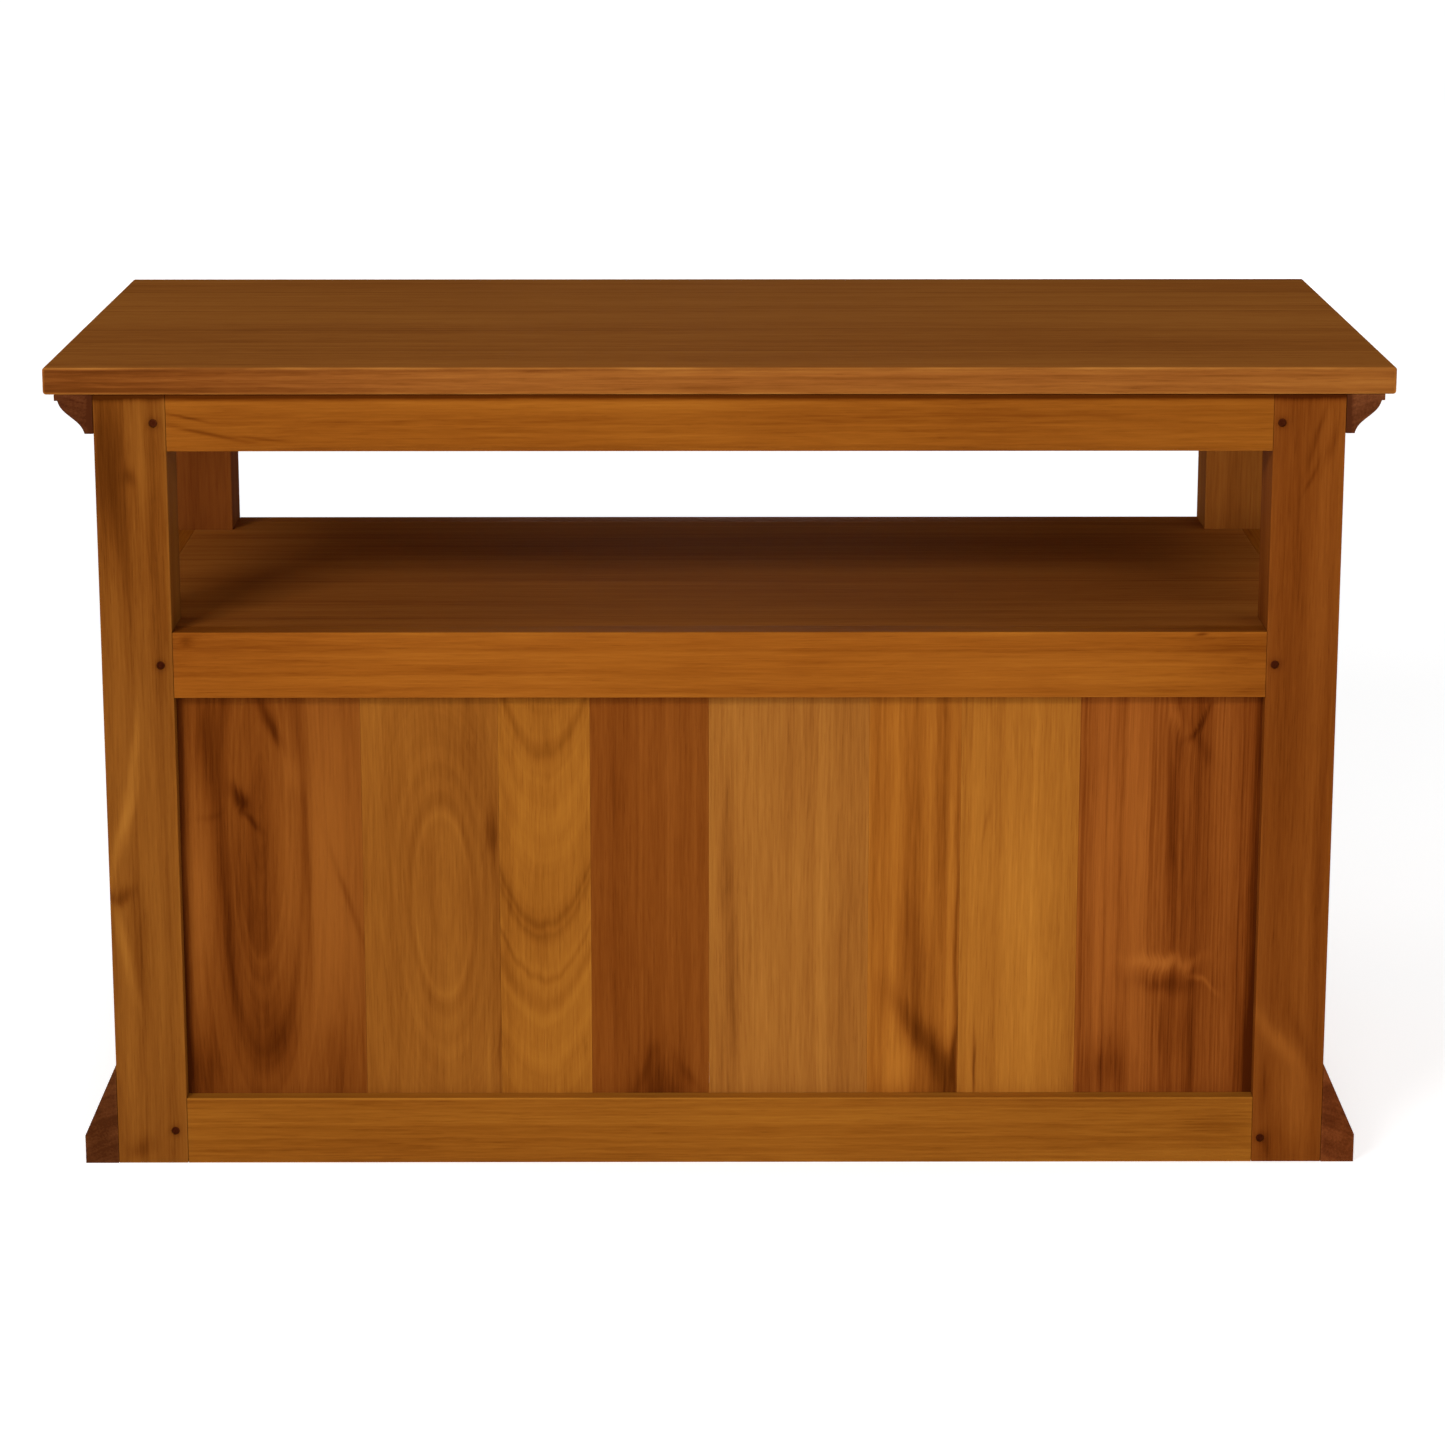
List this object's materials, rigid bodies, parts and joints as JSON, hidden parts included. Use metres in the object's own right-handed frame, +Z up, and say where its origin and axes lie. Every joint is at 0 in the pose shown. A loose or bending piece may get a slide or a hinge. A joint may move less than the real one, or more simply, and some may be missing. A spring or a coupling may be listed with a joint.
{
  "type": "tv cabinet",
  "caption": "Solid-wood TV cabinet: pegged post-and-rail frame, media bay open all round under an overhanging top, moulded crown, bevelled plinth and a cupboard with hinged panelled doors.",
  "frame": {"origin": "on the floor, under the middle of the top board", "axes": "+Z up; +X to the right as seen from the front; the doors and the front face -Y, the panelled back faces +Y"},
  "size_m": [1.03, 0.48, 0.64],
  "materials": {
    "top_wood": "satin varnish, dark brown",
    "frame_wood": "satin varnish, orange brown",
    "panel_wood": "satin varnish, mixed brown boards",
    "trim_wood": "satin varnish, dark brown",
    "peg_wood": "dark stained end grain",
    "brass": "brushed and lightly aged",
    "strike_steel": "plain steel",
    "catch_plastic": "matt brown"
  },
  "bodies": {
    "cabinet": {"top_board": "top_wood", "post_front_left": "frame_wood", "post_front_right": "frame_wood", "post_back_left": "frame_wood", "post_back_right": "frame_wood", "rail_back_top": "frame_wood", "rail_back_middle": "frame_wood", "rail_back_bottom": "frame_wood", "rail_front_top": "frame_wood", "rail_front_middle": "frame_wood", "rail_front_bottom": "frame_wood", "rail_left_top": "frame_wood", "rail_left_middle": "frame_wood", "rail_left_bottom": "frame_wood", "rail_right_top": "frame_wood", "rail_right_middle": "frame_wood", "rail_right_bottom": "frame_wood", "panel_back": "panel_wood", "panel_left": "panel_wood", "panel_right": "panel_wood", "media_shelf": "top_wood", "cupboard_floor": "panel_wood", "crown_front": "trim_wood", "crown_left": "trim_wood", "crown_right": "trim_wood", "plinth_front": "trim_wood", "plinth_left": "trim_wood", "plinth_right": "trim_wood", "peg_top_left": "peg_wood", "peg_middle_left": "peg_wood", "peg_bottom_left": "peg_wood", "peg_top_right": "peg_wood", "peg_middle_right": "peg_wood", "peg_bottom_right": "peg_wood", "hinge_left_lower_post_leaf": "brass", "hinge_left_lower_pin": "brass", "hinge_left_upper_post_leaf": "brass", "hinge_left_upper_pin": "brass", "hinge_right_lower_post_leaf": "brass", "hinge_right_lower_pin": "brass", "hinge_right_upper_post_leaf": "brass", "hinge_right_upper_pin": "brass", "catch_body": "catch_plastic"},
    "door_left": {"door_left_hinge_stile": "frame_wood", "door_left_meeting_stile": "frame_wood", "door_left_top_rail": "frame_wood", "door_left_bottom_rail": "frame_wood", "door_left_panel": "panel_wood", "door_left_knob": "frame_wood", "hinge_left_lower_door_leaf": "brass", "hinge_left_upper_door_leaf": "brass"},
    "door_right": {"door_right_hinge_stile": "frame_wood", "door_right_meeting_stile": "frame_wood", "door_right_top_rail": "frame_wood", "door_right_bottom_rail": "frame_wood", "door_right_panel": "panel_wood", "door_right_knob": "frame_wood", "hinge_right_lower_door_leaf": "brass", "hinge_right_upper_door_leaf": "brass"}
  },
  "joints": [
    {"name": "door_left_hinge", "type": "hinge", "parent": "cabinet", "child": "door_left", "pos_m": [-0.4215, -0.2108, 0.2355], "axis": [0, 0, -1], "range_deg": [0, 110]},
    {"name": "door_right_hinge", "type": "hinge", "parent": "cabinet", "child": "door_right", "pos_m": [0.4215, -0.2108, 0.2355], "axis": [0, 0, 1], "range_deg": [0, 110]}
  ]
}
